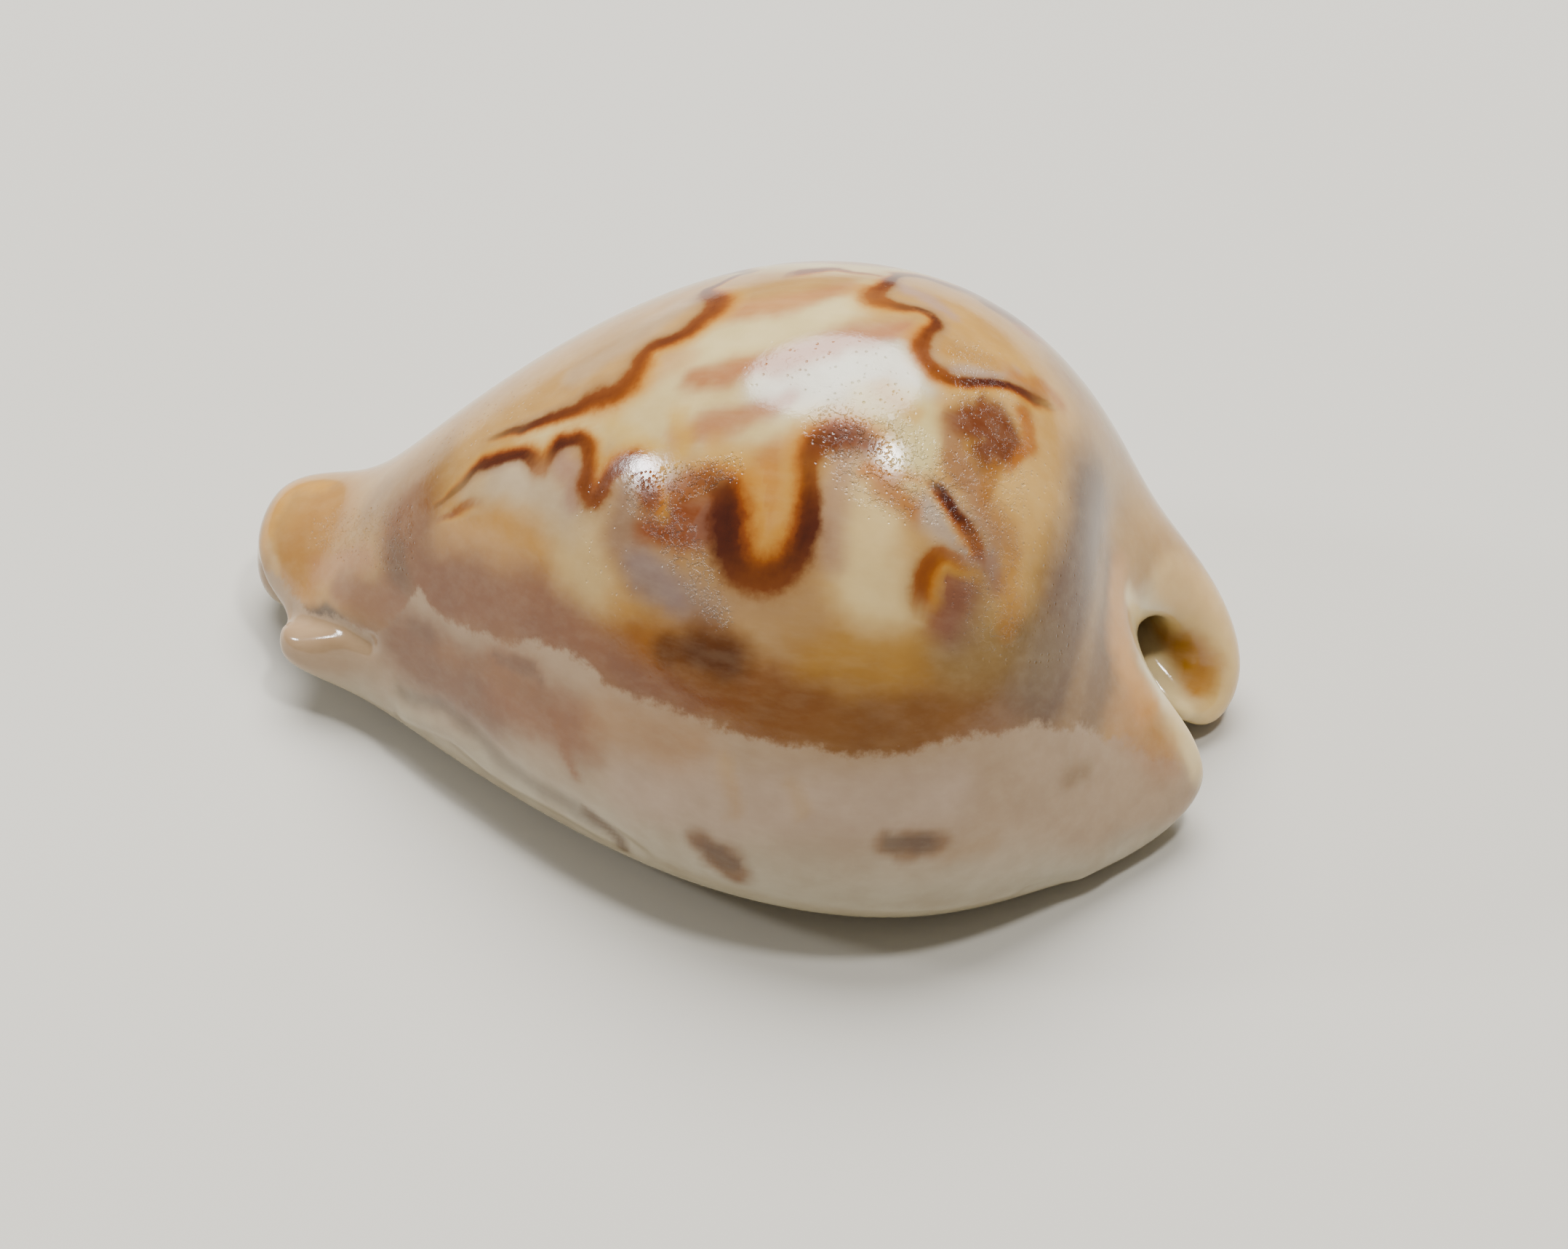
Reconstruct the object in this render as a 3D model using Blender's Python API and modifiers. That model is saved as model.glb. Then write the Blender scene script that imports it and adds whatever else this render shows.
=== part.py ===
"""Shell of Fulton's cowry, one solid that rests on its base.

The shell is one thick sheet, rolled until its two lips nearly meet under the
base. A coarse cage of stations follows the sheet from the front canal (-X) to
the rear canal (+X), and Subdivision Surface rounds it. The left lip is on the
-Y side, the outer lip is on the +Y side, and +Z points out of the back. Two
rows of small teeth are joined to the lips, and the base is cut flat at Z = 0.
Sizes are in millimetres up to the point where a mesh is made.
"""

import bpy
import bmesh
import math
from collections import namedtuple
from mathutils import Matrix, Vector
from mathutils.bvhtree import BVHTree

MM = 0.001
NAME = "fultons_cowry"

# Stations between the two canals. Each holds: place along the shell, half width
# to the left and to the right, height of the crest, height of the widest level,
# height of the base's edge, middle and half width of the slit.
Station = namedtuple("Station", "x left right top belly base slit gap")
STATIONS = (
    Station(-20.0, 6.1, 9.4, 15.9, 6.6, 1.7, 0.5, 1.4),
    Station(-14.0, 10.6, 14.0, 22.6, 8.2, 0.5, 1.1, 1.2),
    Station(-6.0, 17.3, 20.0, 29.2, 9.7, -0.4, 1.8, 1.0),
    Station(3.0, 21.9, 22.8, 34.2, 10.4, -0.6, 2.2, 1.0),
    Station(12.0, 23.1, 22.8, 34.7, 10.5, -0.6, 2.0, 1.0),
    Station(19.0, 20.9, 20.2, 31.4, 10.0, -0.5, 1.6, 1.1),
    Station(24.0, 16.4, 16.0, 25.0, 9.0, -0.2, 1.2, 1.3),
)
# The canals' mouths and the waists behind them, each as outer points from the
# left lip's edge over the crest to the outer lip's edge, and inner points that
# face them one by one.
FRONT_MOUTH = (
    (-25.3, -1.6, 3.4), (-25.9, -3.0, 2.9), (-26.7, -5.6, 3.5), (-26.6, -5.1, 6.2),
    (-26.3, -1.9, 5.0), (-28.9, 0.5, 5.9), (-29.7, 4.6, 9.1), (-30.1, 8.5, 7.2),
    (-30.4, 8.4, 2.6), (-29.6, 4.8, -0.2), (-27.2, 1.4, 1.2),
)
FRONT_MOUTH_INNER = (
    (-25.3, -1.5, 3.8), (-25.8, -1.7, 3.8), (-26.2, -1.7, 3.8), (-26.4, -1.5, 3.8),
    (-26.5, -0.9, 3.3), (-28.6, 0.4, 3.6), (-29.6, 0.6, 3.9), (-30.1, 0.6, 3.7),
    (-30.2, 0.6, 3.2), (-29.2, 0.8, 2.5), (-27.0, 1.2, 1.8),
)
FRONT_WAIST = (
    (-24.0, -1.3, 3.4), (-23.5, -3.2, 2.4), (-23.5, -6.3, 2.7), (-23.0, -6.1, 5.8),
    (-23.2, -3.6, 6.8), (-23.8, 0.0, 9.8), (-24.4, 4.4, 10.9), (-25.0, 8.4, 8.7),
    (-25.5, 8.2, 3.4), (-25.5, 4.6, 0.4), (-25.0, 1.7, 2.4),
)
FRONT_WAIST_INNER = (
    (-24.0, -1.4, 4.0), (-23.7, -2.0, 4.3), (-23.6, -2.4, 4.7), (-23.4, -2.3, 5.2),
    (-23.4, -1.7, 6.0), (-23.8, 0.2, 7.3), (-24.2, 2.2, 7.0), (-24.6, 3.2, 5.8),
    (-25.0, 3.0, 4.6), (-25.2, 2.4, 3.8), (-25.0, 1.7, 3.1),
)
REAR_WAIST = (
    (26.5, -0.8, 3.2), (27.0, -3.5, 0.2), (28.0, -11.4, 0.0), (28.0, -10.2, 7.5),
    (25.8, -5.5, 15.0), (24.0, 1.5, 19.2), (25.6, 8.5, 16.4), (27.6, 12.0, 9.5),
    (28.2, 12.0, 1.5), (28.0, 7.0, -0.2), (27.0, 3.0, 3.2),
)
REAR_WAIST_INNER = (
    (26.6, -1.0, 4.2), (26.8, -2.2, 4.3), (27.2, -3.4, 4.7), (27.0, -3.6, 6.2),
    (26.0, -2.8, 9.6), (25.6, 1.0, 10.6), (26.4, 3.9, 8.8), (27.0, 4.6, 7.2),
    (27.2, 4.2, 5.2), (27.3, 3.6, 4.4), (27.0, 2.8, 4.1),
)
REAR_MOUTH = (
    (29.0, -0.8, 3.4), (31.0, -2.5, 1.8), (32.3, -6.2, 1.7), (31.7, -4.8, 7.0),
    (27.1, -3.0, 12.6), (25.2, 1.0, 16.8), (27.8, 6.5, 14.2), (31.6, 9.3, 8.4),
    (33.2, 9.0, 1.8), (31.9, 4.5, -1.3), (30.0, 2.0, 2.4),
)
REAR_MOUTH_INNER = (
    (29.4, -0.8, 4.3), (31.4, -1.4, 4.4), (32.8, -2.8, 4.6), (32.0, -2.4, 6.8),
    (28.0, -1.4, 9.8), (27.0, 1.6, 10.6), (28.8, 4.5, 9.8), (31.5, 5.4, 8.0),
    (33.6, 5.0, 4.5), (32.4, 3.4, 2.8), (30.4, 2.2, 3.3),
)
# Sheet: thickness of the dome, and how its section is drawn.
WALL = 2.6
SHOULDER_WIDTH = 0.60
SHOULDER_DROP = 0.22
MARGIN_WIDTH = 0.86
# The margin's callus widens the base from the middle to the front canal.
FLARE_WIDTH = 0.30
FLARE_START, FLARE_END = -3.5, -21.0
LIP_WIDTH = 2.4
LIP_CURL = 3.8
# Floor of the cavity, above the lips: a share of the belly's height.
FLOOR_SHARE, FLOOR_LEAST, FLOOR_MOST = 0.42, 1.5, 6.0
ROUNDING = 2

# Teeth: small ridges on both lips, half sizes along, across and in height.
TOOTH = (0.55, 1.7, 0.75)
TOOTH_FIRST, TOOTH_LAST = -22.0, 25.0
OUTER_TEETH = 19
LEFT_TEETH = 17
TOOTH_HEIGHT = 2.0
TOOTH_TILT = math.radians(50)

COLOUR = (0.72, 0.47, 0.27, 1.0)
ROUGHNESS = 0.22


def flare(x):
    """Added share of the margin's width, eased from the middle to the front."""
    t = min(max((x - FLARE_START) / (FLARE_END - FLARE_START), 0.0), 1.0)
    return FLARE_WIDTH * t * t * (3 - 2 * t)


def section(x, left, right, top, belly, base, slit, gap):
    """Outer and inner points of one station between the canals."""
    shoulder = top - SHOULDER_DROP * (top - belly)
    margin = MARGIN_WIDTH + flare(x)
    edge, lip = gap - 0.7, gap + LIP_WIDTH
    outer = (
        (slit - edge, base + LIP_CURL),
        (slit - lip, base + 0.1),
        (-margin * left, base),
        (-left, belly),
        (-SHOULDER_WIDTH * left, shoulder),
        (0.0, top),
        (SHOULDER_WIDTH * right, shoulder),
        (right, belly),
        (margin * right, base),
        (slit + lip, base + 0.1),
        (slit + edge, base + LIP_CURL),
    )
    floor = min(FLOOR_MOST, FLOOR_SHARE * belly + FLOOR_LEAST)
    corner = 0.6 * WALL
    inner_left = inner_half(slit - lip + 0.6, -left + WALL, belly, floor)
    inner_right = inner_half(slit + lip - 0.6, right - WALL, belly, floor)
    inner = (
        *inner_left,
        (-SHOULDER_WIDTH * left + corner, shoulder - 0.9 * WALL),
        (0.0, top - WALL),
        (SHOULDER_WIDTH * right - corner, shoulder - 0.9 * WALL),
        *inner_right[::-1],
    )
    return [(x, *p) for p in outer], [(x, *p) for p in inner]


def inner_half(edge, side, belly, floor):
    """Inner points from the lip's edge over the cavity's floor to its side."""
    reach = side - edge
    return (
        (edge, floor + 1.6),
        (edge + 0.3 * reach, floor + 1.2),
        (edge + 0.8 * reach, floor),
        (side, belly + 1.0),
    )


def cage_rings():
    """Outer and inner points of every station, from the front to the rear."""
    rings = [
        (FRONT_MOUTH, FRONT_MOUTH_INNER),
        (FRONT_WAIST, FRONT_WAIST_INNER),
    ]
    rings += [section(*row) for row in STATIONS]
    rings.append((REAR_WAIST, REAR_WAIST_INNER))
    rings.append((REAR_MOUTH, REAR_MOUTH_INNER))
    return rings


def new_object(name, bm, collection):
    mesh = bpy.data.meshes.new(name)
    bm.to_mesh(mesh)
    bm.free()
    mesh.shade_smooth()
    obj = bpy.data.objects.new(name, mesh)
    collection.objects.link(obj)
    return obj


def build_sheet(collection):
    """The rolled sheet: bands between stations, and a rim at each canal."""
    bm = bmesh.new()
    loops = []
    for outer, inner in cage_rings():
        points = list(outer) + list(inner)[::-1]
        loops.append([bm.verts.new(Vector(p) * MM) for p in points])
    count = len(loops[0])
    for a, b in zip(loops, loops[1:]):
        for k in range(count):
            n = (k + 1) % count
            bm.faces.new((a[k], a[n], b[n], b[k]))
    for loop in (loops[0], loops[-1]):
        for k in range(count // 2 - 1):
            facing = count - 1 - k
            bm.faces.new((loop[k], loop[k + 1], loop[facing - 1], loop[facing]))
    bmesh.ops.recalc_face_normals(bm, faces=bm.faces)
    shell = new_object("shell", bm, collection)
    smooth = shell.modifiers.new("round", "SUBSURF")
    smooth.levels = ROUNDING
    smooth.render_levels = ROUNDING
    return shell


def slit_line(x):
    """Middle of the slit and height of the base at x, between stations."""
    for a, b in zip(STATIONS, STATIONS[1:]):
        if x <= b.x:
            break
    t = min(max((x - a.x) / (b.x - a.x), 0.0), 1.0)
    return a.slit + t * (b.slit - a.slit), a.base + t * (b.base - a.base)


def centre(shell):
    """Moves the sheet's box over the origin, and returns the move."""
    graph = bpy.context.evaluated_depsgraph_get()
    rounded = shell.evaluated_get(graph).to_mesh()
    xs = [v.co.x for v in rounded.vertices]
    ys = [v.co.y for v in rounded.vertices]
    move = Vector((-(min(xs) + max(xs)) / 2, -(min(ys) + max(ys)) / 2, 0.0))
    shell.data.transform(Matrix.Translation(move))
    return move


def build_teeth(shell, move, collection):
    """Both rows of teeth, each tooth on the edge of its lip."""
    graph = bpy.context.evaluated_depsgraph_get()
    graph.update()
    tree = BVHTree.FromObject(shell, graph)
    bm = bmesh.new()
    for side, number in ((1, OUTER_TEETH), (-1, LEFT_TEETH)):
        for i in range(number):
            x = TOOTH_FIRST + (TOOTH_LAST - TOOTH_FIRST) * (i + 0.5) / number
            middle, base = slit_line(x)
            start = Vector((x, middle, base + TOOTH_HEIGHT)) * MM + move
            place = tree.ray_cast(start, Vector((0, side, 0)))[0]
            turn = Matrix.Rotation(-side * TOOTH_TILT, 4, "X")
            size = Matrix.Diagonal((*[s * MM for s in TOOTH], 1.0))
            bmesh.ops.create_uvsphere(
                bm,
                u_segments=6,
                v_segments=4,
                radius=1.0,
                matrix=Matrix.Translation(place) @ turn @ size,
            )
    teeth = new_object("teeth", bm, collection)
    teeth.hide_render = True
    teeth.display_type = "WIRE"
    return teeth


def build_ground(collection):
    """A block whose top is the plane that the base is cut to."""
    size = 100 * MM
    bm = bmesh.new()
    bmesh.ops.create_cube(
        bm, size=size, matrix=Matrix.Translation((0, 0, -size / 2))
    )
    ground = new_object("ground", bm, collection)
    ground.hide_render = True
    ground.display_type = "WIRE"
    return ground


def join(obj, other, operation):
    step = obj.modifiers.new(other.name, "BOOLEAN")
    step.operation = operation
    step.object = other
    step.solver = "EXACT"


def glazed(name):
    material = bpy.data.materials.new(name)
    material.use_nodes = True
    surface = material.node_tree.nodes["Principled BSDF"]
    surface.inputs["Base Color"].default_value = COLOUR
    surface.inputs["Roughness"].default_value = ROUGHNESS
    surface.inputs["Metallic"].default_value = 0.0
    material.diffuse_color = COLOUR
    return material


def main():
    for obj in list(bpy.data.objects):
        bpy.data.objects.remove(obj)
    parts = bpy.data.collections.new(NAME)
    helpers = bpy.data.collections.new("helpers")
    for collection in (parts, helpers):
        bpy.context.scene.collection.children.link(collection)
    shell = build_sheet(parts)
    move = centre(shell)
    teeth = build_teeth(shell, move, helpers)
    join(shell, teeth, "UNION")
    join(shell, build_ground(helpers), "DIFFERENCE")
    shell.data.materials.append(glazed("glazed_shell"))


main()
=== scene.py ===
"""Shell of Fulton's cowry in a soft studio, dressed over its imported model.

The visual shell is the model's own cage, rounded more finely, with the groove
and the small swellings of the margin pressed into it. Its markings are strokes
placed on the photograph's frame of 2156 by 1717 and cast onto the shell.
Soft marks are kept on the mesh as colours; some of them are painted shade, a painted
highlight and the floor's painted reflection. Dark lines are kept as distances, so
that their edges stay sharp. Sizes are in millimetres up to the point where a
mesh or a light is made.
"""

import bpy
import math
import numpy as np
from collections import namedtuple
from mathutils import Matrix, Vector, noise
from mathutils.bvhtree import BVHTree


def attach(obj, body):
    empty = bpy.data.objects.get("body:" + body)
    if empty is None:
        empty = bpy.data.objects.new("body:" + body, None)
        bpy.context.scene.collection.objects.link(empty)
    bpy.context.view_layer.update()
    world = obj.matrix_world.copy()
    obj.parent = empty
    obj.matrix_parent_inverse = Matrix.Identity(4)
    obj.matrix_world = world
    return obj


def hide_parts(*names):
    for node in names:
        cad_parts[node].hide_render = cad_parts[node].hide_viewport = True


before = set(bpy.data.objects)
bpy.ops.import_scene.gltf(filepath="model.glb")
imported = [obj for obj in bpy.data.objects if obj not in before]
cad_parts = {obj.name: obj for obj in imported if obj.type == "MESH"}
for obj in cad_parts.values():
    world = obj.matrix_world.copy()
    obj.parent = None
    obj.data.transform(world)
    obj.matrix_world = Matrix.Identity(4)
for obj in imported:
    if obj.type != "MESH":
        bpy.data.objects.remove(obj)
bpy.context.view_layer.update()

MM = 0.001

# One seed for the marks' swirls: without it they differ from run to run.
noise.seed_set(7)

# Camera: placed by the outline of the photograph.
PHOTO_WIDTH, PHOTO_HEIGHT = 2156, 1717
AZIMUTH, ELEVATION = math.radians(12), math.radians(43)
LENS, SENSOR = 150.0, 36.0
DISTANCE = 399.8
AIM = (4.24, -2.77, 10.59)

# Form of the shell, from the model: stations between the canals, then the
# canals' mouths and waists as outer and inner points.
Station = namedtuple("Station", "x left right top belly base slit gap")
STATIONS = (
    Station(-20.0, 6.1, 9.4, 15.9, 6.6, 1.7, 0.5, 1.4),
    Station(-14.0, 10.6, 14.0, 22.6, 8.2, 0.5, 1.1, 1.2),
    Station(-6.0, 17.3, 20.0, 29.2, 9.7, -0.4, 1.8, 1.0),
    Station(3.0, 21.9, 22.8, 34.2, 10.4, -0.6, 2.2, 1.0),
    Station(12.0, 23.1, 22.8, 34.7, 10.5, -0.6, 2.0, 1.0),
    Station(19.0, 20.9, 20.2, 31.4, 10.0, -0.5, 1.6, 1.1),
    Station(24.0, 16.4, 16.0, 25.0, 9.0, -0.2, 1.2, 1.3),
)
FRONT_MOUTH = (
    (-25.3, -1.6, 3.4), (-25.9, -3.0, 2.9), (-26.7, -5.6, 3.5), (-26.6, -5.1, 6.2),
    (-26.3, -1.9, 5.0), (-28.9, 0.5, 5.9), (-29.7, 4.6, 9.1), (-30.1, 8.5, 7.2),
    (-30.4, 8.4, 2.6), (-29.6, 4.8, -0.2), (-27.2, 1.4, 1.2),
)
FRONT_MOUTH_INNER = (
    (-25.3, -1.5, 3.8), (-25.8, -1.7, 3.8), (-26.2, -1.7, 3.8), (-26.4, -1.5, 3.8),
    (-26.5, -0.9, 3.3), (-28.6, 0.4, 3.6), (-29.6, 0.6, 3.9), (-30.1, 0.6, 3.7),
    (-30.2, 0.6, 3.2), (-29.2, 0.8, 2.5), (-27.0, 1.2, 1.8),
)
FRONT_WAIST = (
    (-24.0, -1.3, 3.4), (-23.5, -3.2, 2.4), (-23.5, -6.3, 2.7), (-23.0, -6.1, 5.8),
    (-23.2, -3.6, 6.8), (-23.8, 0.0, 9.8), (-24.4, 4.4, 10.9), (-25.0, 8.4, 8.7),
    (-25.5, 8.2, 3.4), (-25.5, 4.6, 0.4), (-25.0, 1.7, 2.4),
)
FRONT_WAIST_INNER = (
    (-24.0, -1.4, 4.0), (-23.7, -2.0, 4.3), (-23.6, -2.4, 4.7), (-23.4, -2.3, 5.2),
    (-23.4, -1.7, 6.0), (-23.8, 0.2, 7.3), (-24.2, 2.2, 7.0), (-24.6, 3.2, 5.8),
    (-25.0, 3.0, 4.6), (-25.2, 2.4, 3.8), (-25.0, 1.7, 3.1),
)
REAR_WAIST = (
    (26.5, -0.8, 3.2), (27.0, -3.5, 0.2), (28.0, -11.4, 0.0), (28.0, -10.2, 7.5),
    (25.8, -5.5, 15.0), (24.0, 1.5, 19.2), (25.6, 8.5, 16.4), (27.6, 12.0, 9.5),
    (28.2, 12.0, 1.5), (28.0, 7.0, -0.2), (27.0, 3.0, 3.2),
)
REAR_WAIST_INNER = (
    (26.6, -1.0, 4.2), (26.8, -2.2, 4.3), (27.2, -3.4, 4.7), (27.0, -3.6, 6.2),
    (26.0, -2.8, 9.6), (25.6, 1.0, 10.6), (26.4, 3.9, 8.8), (27.0, 4.6, 7.2),
    (27.2, 4.2, 5.2), (27.3, 3.6, 4.4), (27.0, 2.8, 4.1),
)
REAR_MOUTH = (
    (29.0, -0.8, 3.4), (31.0, -2.5, 1.8), (32.3, -6.2, 1.7), (31.7, -4.8, 7.0),
    (27.1, -3.0, 12.6), (25.2, 1.0, 16.8), (27.8, 6.5, 14.2), (31.6, 9.3, 8.4),
    (33.2, 9.0, 1.8), (31.9, 4.5, -1.3), (30.0, 2.0, 2.4),
)
REAR_MOUTH_INNER = (
    (29.4, -0.8, 4.3), (31.4, -1.4, 4.4), (32.8, -2.8, 4.6), (32.0, -2.4, 6.8),
    (28.0, -1.4, 9.8), (27.0, 1.6, 10.6), (28.8, 4.5, 9.8), (31.5, 5.4, 8.0),
    (33.6, 5.0, 4.5), (32.4, 3.4, 2.8), (30.4, 2.2, 3.3),
)
WALL = 2.6
SHOULDER_WIDTH = 0.60
SHOULDER_DROP = 0.22
MARGIN_WIDTH = 0.86
FLARE_WIDTH = 0.30
FLARE_START, FLARE_END = -3.5, -21.0
LIP_WIDTH = 2.4
LIP_CURL = 3.8
FLOOR_SHARE, FLOOR_LEAST, FLOOR_MOST = 0.42, 1.5, 6.0
LIP_TUCK = 0.7
LIP_STEP = 0.1
INNER_STEP = 0.6
CORNER_SHARE = 0.6
TOP_SHARE = 0.9
EDGE_RISE, FLOOR_RISE, SIDE_RISE = 1.6, 1.2, 1.0
ROUNDING = 5  # on the dome: one less on the rims, two less inside
DOME, RIM, INSIDE = range(3)
SAME_PLACE = 1e-4

# Teeth: half sizes along, across and in height, and their places on the lips.
TOOTH = (0.55, 1.7, 0.75)
TOOTH_FIRST, TOOTH_LAST = -22.0, 25.0
OUTER_TEETH = 19
LEFT_TEETH = 17
TOOTH_HEIGHT = 2.0
TOOTH_TILT = math.radians(50)


# The form: the cage, and the fine mesh made from it.

def flare(x):
    """Added share of the margin's width, eased from the middle to the front."""
    t = min(max((x - FLARE_START) / (FLARE_END - FLARE_START), 0.0), 1.0)
    return FLARE_WIDTH * t * t * (3 - 2 * t)


def inner_half(edge, side, belly, floor):
    """Inner points from the lip's edge over the cavity's floor to its side."""
    reach = side - edge
    return (
        (edge, floor + EDGE_RISE),
        (edge + 0.3 * reach, floor + FLOOR_RISE),
        (edge + 0.8 * reach, floor),
        (side, belly + SIDE_RISE),
    )


def section(x, left, right, top, belly, base, slit, gap):
    """Outer and inner points of one station between the canals."""
    shoulder = top - SHOULDER_DROP * (top - belly)
    margin = MARGIN_WIDTH + flare(x)
    edge, lip = gap - LIP_TUCK, gap + LIP_WIDTH
    outer = (
        (slit - edge, base + LIP_CURL),
        (slit - lip, base + LIP_STEP),
        (-margin * left, base),
        (-left, belly),
        (-SHOULDER_WIDTH * left, shoulder),
        (0.0, top),
        (SHOULDER_WIDTH * right, shoulder),
        (right, belly),
        (margin * right, base),
        (slit + lip, base + LIP_STEP),
        (slit + edge, base + LIP_CURL),
    )
    floor = min(FLOOR_MOST, FLOOR_SHARE * belly + FLOOR_LEAST)
    corner, under = CORNER_SHARE * WALL, TOP_SHARE * WALL
    inner_left = inner_half(slit - lip + INNER_STEP, -left + WALL, belly, floor)
    inner_right = inner_half(slit + lip - INNER_STEP, right - WALL, belly, floor)
    inner = (
        *inner_left,
        (-SHOULDER_WIDTH * left + corner, shoulder - under),
        (0.0, top - WALL),
        (SHOULDER_WIDTH * right - corner, shoulder - under),
        *inner_right[::-1],
    )
    return [(x, *p) for p in outer], [(x, *p) for p in inner]


def cage_mesh():
    """The rolled sheet as a coarse cage, in millimetres. Its faces are labelled."""
    rings = [(FRONT_MOUTH, FRONT_MOUTH_INNER), (FRONT_WAIST, FRONT_WAIST_INNER)]
    rings += [section(*row) for row in STATIONS]
    rings += [(REAR_WAIST, REAR_WAIST_INNER), (REAR_MOUTH, REAR_MOUTH_INNER)]
    loops = [list(outer) + list(inner)[::-1] for outer, inner in rings]
    count = len(loops[0])
    half = count // 2
    points = [p for loop in loops for p in loop]
    faces, labels = [], []
    for r in range(len(loops) - 1):
        for k in range(count):
            n = (k + 1) % count
            a, b = r * count, (r + 1) * count
            faces.append((a + k, b + k, b + n, a + n))
            inside = half <= k < count - 1
            labels.append(INSIDE if inside else DOME if 2 <= k < 8 else RIM)
    last = (len(loops) - 1) * count
    for k in range(half - 1):
        m = count - 1 - k
        faces.append((k, k + 1, m - 1, m))
        faces.append((last + m, last + m - 1, last + k + 1, last + k))
        labels += [RIM, RIM]
    mesh = bpy.data.meshes.new("cage")
    mesh.from_pydata(points, [], faces)
    mesh.polygons.foreach_set("material_index", labels)
    return mesh


def rounded(mesh, levels):
    """The cage's mesh after Subdivision Surface."""
    cage = bpy.data.objects.new("cage", mesh)
    bpy.context.scene.collection.objects.link(cage)
    rounding = cage.modifiers.new("round", "SUBSURF")
    rounding.levels = levels
    rounding.render_levels = levels
    graph = bpy.context.evaluated_depsgraph_get()
    fine = bpy.data.meshes.new_from_object(cage.evaluated_get(graph))
    bpy.data.objects.remove(cage)
    return fine


def graded(cage):
    """The rounded cage, fine on the dome, coarser on the rims and inside.

    Vertices of a finer part along a border are put into the coarser faces there,
    so that the surface stays closed.
    """
    index, points, faces = {}, [], []
    split, border = {}, {}
    for label, levels in ((DOME, ROUNDING), (RIM, ROUNDING - 1), (INSIDE, ROUNDING - 2)):
        mesh = rounded(cage, levels)
        co = points_of(mesh)
        keys = [tuple(k) for k in np.round(co / SAME_PLACE).astype(int)]
        chosen = [p for p in mesh.polygons if p.material_index == label]
        uses = {}
        for p in chosen:
            ring = list(p.vertices)
            for a, b in zip(ring, ring[1:] + ring[:1]):
                uses.setdefault(frozenset((a, b)), []).append((a, b))
        number = {}
        for p in chosen:
            ring = []
            for v, w in zip(p.vertices, list(p.vertices)[1:] + [p.vertices[0]]):
                if v not in number:
                    number[v] = locate(keys[v], index, points, co[v])
                ring.append(number[v])
                if w not in number:
                    number[w] = locate(keys[w], index, points, co[w])
                extra = split.get(frozenset((number[v], number[w])))
                if extra is not None:
                    ring.append(extra)
            faces.append(ring)
        for found in uses.values():
            if len(found) == 1:
                a, b = (number[v] for v in found[0])
                border.setdefault(a, set()).add(b)
                border.setdefault(b, set()).add(a)
        bpy.data.meshes.remove(mesh)
        for v, around in border.items():
            for a in around:
                for b in around:
                    if a < b:
                        split[frozenset((a, b))] = v
    fine = bpy.data.meshes.new("cowry")
    fine.from_pydata(points, [], faces)
    fine.update()
    co = points_of(fine)
    middle = (co.min(axis=0) + co.max(axis=0)) / 2
    middle[2] = 0.0
    set_points(fine, co - middle)
    return fine, -middle


def locate(key, index, points, place):
    """Number of the vertex at a place, which is added if it is new."""
    for dx in (0, -1, 1):
        for dy in (0, -1, 1):
            for dz in (0, -1, 1):
                near = (key[0] + dx, key[1] + dy, key[2] + dz)
                if near in index:
                    return index[near]
    index[key] = len(points)
    points.append(tuple(place))
    return index[key]


def points_of(mesh):
    co = np.empty(len(mesh.vertices) * 3, np.float32)
    mesh.vertices.foreach_get("co", co)
    return co.reshape(-1, 3).astype(np.float64)


def normals_of(mesh):
    no = np.empty(len(mesh.vertices) * 3, np.float32)
    mesh.vertices.foreach_get("normal", no)
    return no.reshape(-1, 3).astype(np.float64)


def set_points(mesh, co):
    mesh.vertices.foreach_set("co", co.astype(np.float32).ravel())
    mesh.update()


def tree_of(mesh):
    return BVHTree.FromPolygons(
        [tuple(v.co) for v in mesh.vertices],
        [tuple(p.vertices) for p in mesh.polygons],
    )


# The photograph's frame, and strokes cast from it onto the shell.

def camera_axes():
    """Right, up and back of the camera, and its place."""
    a, e = AZIMUTH, ELEVATION
    back = np.array(
        (math.sin(a) * math.cos(e), -math.cos(a) * math.cos(e), math.sin(e))
    )
    right = np.array((math.cos(a), math.sin(a), 0.0))
    up = np.cross(back, right)
    return right, up, back, np.array(AIM) + back * DISTANCE


def cast(tree, spots, side=1):
    """Points and normals on the shell under spots of the photograph's frame.

    Side -1 looks from the far side, in a frame that mirrors the photograph's.
    """
    right, up, back, place = (axis * (1, side, 1) for axis in camera_axes())
    reach = LENS / SENSOR * PHOTO_WIDTH
    points, normals = [], []
    for px, py in spots:
        ray = -back * reach
        ray = ray + right * (px - PHOTO_WIDTH / 2) - up * (py - PHOTO_HEIGHT / 2)
        ray /= np.linalg.norm(ray)
        hit = tree.ray_cast(Vector(place), Vector(ray))
        if hit[0] is None:
            hit = tree.find_nearest(Vector(place + ray * DISTANCE))
        points.append(hit[0])
        normals.append(hit[1])
    return np.array(points), np.array(normals)


def eased(values, step):
    """A smooth curve through rows of numbers, with a row about every step."""
    rows = np.array(values, float)
    if len(rows) < 2:
        return rows
    ends = np.vstack([2 * rows[0] - rows[1], rows, 2 * rows[-1] - rows[-2]])
    out = []
    for i in range(1, len(ends) - 2):
        p0, p1, p2, p3 = ends[i - 1:i + 3]
        n = max(1, int(np.linalg.norm((p2 - p1)[:2]) / step))
        for t in np.arange(n) / n:
            out.append(
                0.5 * (2 * p1 + (p2 - p0) * t + (2 * p0 - 5 * p1 + 4 * p2 - p3) * t * t
                       + (3 * p1 - p0 - 3 * p2 + p3) * t ** 3)
            )
    out.append(rows[-1])
    return np.array(out)


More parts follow.
